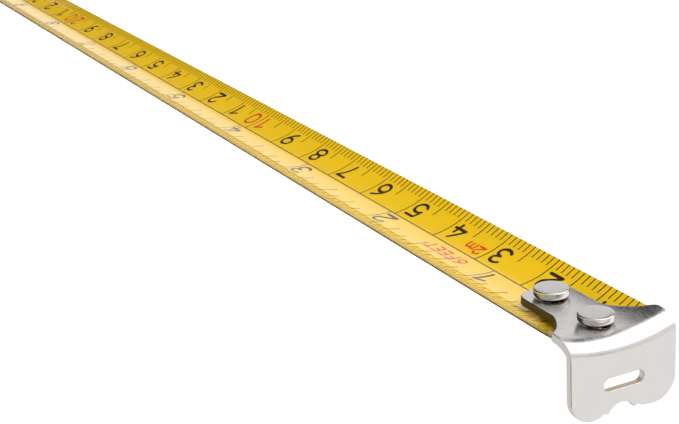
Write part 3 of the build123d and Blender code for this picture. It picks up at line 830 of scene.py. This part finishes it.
def lacquered(name, base, second):
    """Stoving lacquer under a clear coat: smooth and glossy, a little orange-peeled, mottled very faintly."""
    material, tree, shader = surface(name, base, 0.55, Coat_Weight=1.0, Coat_Roughness=0.06, Coat_IOR=1.5)
    shader.inputs["Specular IOR Level"].default_value = 0.2
    mottle = grain(tree, 2.5, 4.0)
    share = ramp(tree, mottle.outputs["Fac"], 0, 1)
    tree.links.new(mix_colour(tree, share, base, second), shader.inputs["Base Color"])
    peel = grain(tree, 0.5, 2.0)
    tree.links.new(bump(tree, peel.outputs["Fac"], 0.004, 0.25), shader.inputs["Coat Normal"])
    return material


def bare_steel():
    """Slit spring steel at the strip's edges: dark grey, dull."""
    material, tree, shader = surface("slit_spring_steel", "#5A5650", 0.45, 0.9)
    lines = grain(tree, 0.12, 2.0, (8, 1, 1))
    tree.links.new(ramp(tree, lines.outputs["Fac"], 0.35, 0.6), shader.inputs["Roughness"])
    return material


def bright_nickel():
    """Nickel plate over stamped and brushed steel: bright, with fine scratches and soft dull patches."""
    material, tree, shader = surface("brushed_nickel_plate", "#D0CCC9", 0.24, 1.0)
    lines = grain(tree, 0.05, 4.0, (14, 1, 2))
    patches = grain(tree, 1.6, 3.0)
    both = add(tree, "ShaderNodeMath", {0: lines.outputs["Fac"], 1: patches.outputs["Fac"]}, operation="ADD")
    tree.links.new(ramp(tree, both.outputs["Value"], 0.17, 0.34, 0.7, 1.3), shader.inputs["Roughness"])
    scuffs = grain(tree, 0.5, 2.0)
    dents = bump(tree, scuffs.outputs["Fac"], 0.012, 0.6)
    tree.links.new(bump(tree, lines.outputs["Fac"], 0.004, 0.5, Normal=dents), shader.inputs["Normal"])
    return material


def sheared_nickel():
    """The cut edge of the stamping: marked across, with painted shade darkening it on the tongue, and its
    plain bright nickel at the bend and face.
    """
    material, tree, shader = surface("sheared_nickel_edge", "#C9C6C2", 0.48, 1.0)
    lines = grain(tree, 0.12, 3.0, (1, 1, 8))
    tree.links.new(ramp(tree, lines.outputs["Fac"], 0.32, 0.55), shader.inputs["Roughness"])
    tree.links.new(bump(tree, lines.outputs["Fac"], 0.02, 0.6), shader.inputs["Normal"])
    place = add(tree, "ShaderNodeTexCoord")
    along = add(tree, "ShaderNodeSeparateXYZ", {"Vector": place.outputs["Object"]})
    # painted shade: the edge's colour darkens from just behind the bend back along the tongue, standing in
    # for the shade there
    shade_to, unshaded_from = (ZERO_X - 4.2) * MM, (ZERO_X - 2.6) * MM
    tongue_shade = ramp(tree, along.outputs["X"], 0, 1, shade_to, unshaded_from)
    tree.links.new(mix_colour(tree, tongue_shade, "#5C5955", "#CFCCC9"), shader.inputs["Base Color"])
    return material


def polished_nickel():
    """Nickel plate on turned rivets: nearly a mirror, with light turning marks."""
    material, tree, shader = surface("polished_nickel_plate", "#C6C3C1", 0.12, 1.0)
    lines = grain(tree, 0.10, 3.0, (3, 1, 1))
    tree.links.new(ramp(tree, lines.outputs["Fac"], 0.08, 0.22), shader.inputs["Roughness"])
    tree.links.new(bump(tree, lines.outputs["Fac"], 0.003, 0.35), shader.inputs["Normal"])
    return material


def turned_aluminium():
    """A face-turned aluminium disc: fine rings about its middle, satin, clear anodised."""
    material, tree, shader = surface("face_turned_aluminium", "#C9CBCE", 0.3, 1.0)
    place = add(tree, "ShaderNodeTexCoord")
    centred = add(tree, "ShaderNodeMapping", {"Vector": place.outputs["Object"]})
    centred.inputs["Location"].default_value = (0, 0, -REEL_HEIGHT * MM)
    centred.inputs["Scale"].default_value = (1, 0, 1)
    away = add(tree, "ShaderNodeVectorMath", {0: centred.outputs["Vector"]}, operation="LENGTH")
    finer = add(tree, "ShaderNodeMath", {0: away.outputs["Value"]}, operation="MULTIPLY")
    finer.inputs[1].default_value = 1 / (0.22 * MM)
    rings = add(tree, "ShaderNodeTexNoise", {"W": finer.outputs["Value"]},
                noise_dimensions="1D", Scale=1.0, Detail=3.0)
    tree.links.new(ramp(tree, rings.outputs["Fac"], 0.22, 0.4), shader.inputs["Roughness"])
    tree.links.new(bump(tree, rings.outputs["Fac"], 0.02, 0.5), shader.inputs["Normal"])
    return material


def moulded(name, base, roughness, size_mm, depth_mm):
    """Moulded plastic with a spark-eroded grain, drawn coarse enough to show."""
    material, tree, shader = surface(name, base, roughness)
    shader.inputs["IOR"].default_value = 1.5
    spark = grain(tree, size_mm, 2.0)
    tree.links.new(bump(tree, spark.outputs["Fac"], depth_mm, 0.6), shader.inputs["Normal"])
    mottled = ramp(tree, spark.outputs["Fac"], roughness - 0.06, roughness + 0.08)
    tree.links.new(mottled, shader.inputs["Roughness"])
    return material


# ---------------------------------------------------------------- stage

def direction(azimuth, elevation):
    """The unit vector at an azimuth and elevation in degrees."""
    a, e = radians(azimuth), radians(elevation)
    return cos(e) * cos(a), cos(e) * sin(a), sin(e)


def patch(tree, way, light, level, azimuth, elevation, inner, outer):
    """The light all round, brought to level within inner degrees of a direction and untouched past outer."""
    near = add(tree, "ShaderNodeVectorMath", {0: way}, operation="DOT_PRODUCT")
    near.inputs[1].default_value = direction(azimuth, elevation)
    share = add(tree, "ShaderNodeMapRange", {"Value": near.outputs["Value"]}, interpolation_type="SMOOTHSTEP")
    share.inputs["From Min"].default_value = cos(radians(outer))
    share.inputs["From Max"].default_value = cos(radians(inner))
    mixed = add(tree, "ShaderNodeMix", {0: share.outputs["Result"], 2: light})
    mixed.inputs[3].default_value = level
    return mixed.outputs[0]


def studio():
    """A light tent: white all round, brighter overhead, with dark gaps between its panels; a white floor."""
    world = bpy.data.worlds.new("studio")
    bpy.context.scene.world = world
    world.use_nodes = True
    tree = world.node_tree
    way = add(tree, "ShaderNodeTexCoord").outputs["Generated"]
    light = add(tree, "ShaderNodeValue").outputs["Value"]
    light.default_value = TENT_LIGHT
    for row in TENT:
        light = patch(tree, way, light, *row)
    back = tree.nodes["Background"]
    tree.links.new(light, back.inputs["Color"])
    back.inputs["Strength"].default_value = 1.0

    material, _, shader = surface("white_paper", "#9A9A9A", 0.9)
    shader.inputs["Emission Color"].default_value = colour("#FFFFFF")
    shader.inputs["Emission Strength"].default_value = FLOOR_GLOW
    corners = [(x * FLOOR_REACH, y * FLOOR_REACH, 0) for x, y in ((-1, -1), (1, -1), (1, 1), (-1, 1))]
    mesh = bpy.data.meshes.new("floor")
    mesh.from_pydata(corners, [], [(0, 1, 2, 3)])
    mesh.materials.append(material)
    floor = bpy.data.objects.new("floor", mesh)
    floor.visible_glossy = False
    bpy.context.scene.collection.objects.link(floor)
    bpy.context.scene.view_settings.view_transform = "Standard"


def camera():
    """Close to the hook, looking back along the blade: 155 degrees round, 20 degrees down, leaning 3.6."""
    data = bpy.data.cameras.new("camera")
    data.sensor_width = SENSOR
    data.lens = LENS
    data.clip_start = 0.005
    data.clip_end = 50.0
    obj = bpy.data.objects.new("camera", data)
    spot = (Vector((ZERO_X, 0, EDGE_Z)) + Vector(CAMERA_SPOT)) * MM
    ahead = Vector(direction(CAMERA_HEADING, CAMERA_DIP))
    turn = ahead.to_track_quat("-Z", "Y").to_matrix() @ Matrix.Rotation(-radians(CAMERA_LEAN), 3, "Z")
    obj.matrix_world = Matrix.Translation(spot) @ turn.to_4x4()
    bpy.context.scene.collection.objects.link(obj)
    bpy.context.scene.camera = obj


# ---------------------------------------------------------------- build

yellow = lacquered("yellow_stoved_lacquer", "#F6C808", "#F3C60C")
steel = bare_steel()
nickel = bright_nickel()
polished = polished_nickel()

strip = blade_strip(yellow, steel)
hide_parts("blade")
wind_in(strip)
black_signs, red_signs = numerals()
centre_line = ribbon([(CENTRE_FROM, CENTRE_LINE), (PRINT_TO, CENTRE_LINE)], CENTRE_WIDE, rounded=False)
black_print = metric_ticks() + inch_ticks() + [centre_line] + black_signs
inks = (
    ("print_black", black_print, lacquered("black_ink_under_lacquer", "#2A1E12", "#33261A")),
    ("print_red", red_signs, lacquered("red_ink_under_lacquer", "#DE4218", "#D93E1A")),
)
for name, ribbons, ink in inks:
    print_piece(name, ribbons, ink)

hook_plate(nickel, sheared_nickel())
for node, x in RIVETS.items():
    rivet(node, x, polished)

finishes = {
    "case_shell": moulded("spark_textured_abs", "#3A3D42", 0.46, 0.35, 0.03),
    "grip_rubber": moulded("moulded_rubber", "#1C1C1E", 0.62, 0.30, 0.03),
    "lock_red": moulded("moulded_pom", "#D2401A", 0.35, 0.5, 0.01),
    "slider_nylon": moulded("moulded_nylon_black", "#26262A", 0.45, 0.5, 0.01),
    "guide_acetal": moulded("moulded_acetal", "#1B1B1D", 0.40, 0.5, 0.01),
    "reel_nylon": moulded("moulded_nylon_natural", "#D9D6CC", 0.45, 0.5, 0.01),
    "badge": turned_aluminium(),
    "blade_yellow": yellow,
    "bright_nickel": nickel,
    "spring_steel": steel,
    "screw_steel": polished,
}
slots = {row["node"]: row["material_slot"] for row in frame["record"]["subparts"]}
for node, obj in frame["nodes"].items():
    obj.data.materials.clear()
    obj.data.materials.append(finishes[slots[node]])

for node, side in (("left", 1), ("right", -1)):
    side_grip("grip_" + node, side, finishes["grip_rubber"])
    side_badge("badge_" + node, side, finishes["badge"])
grip_band(finishes["grip_rubber"])

studio()
camera()
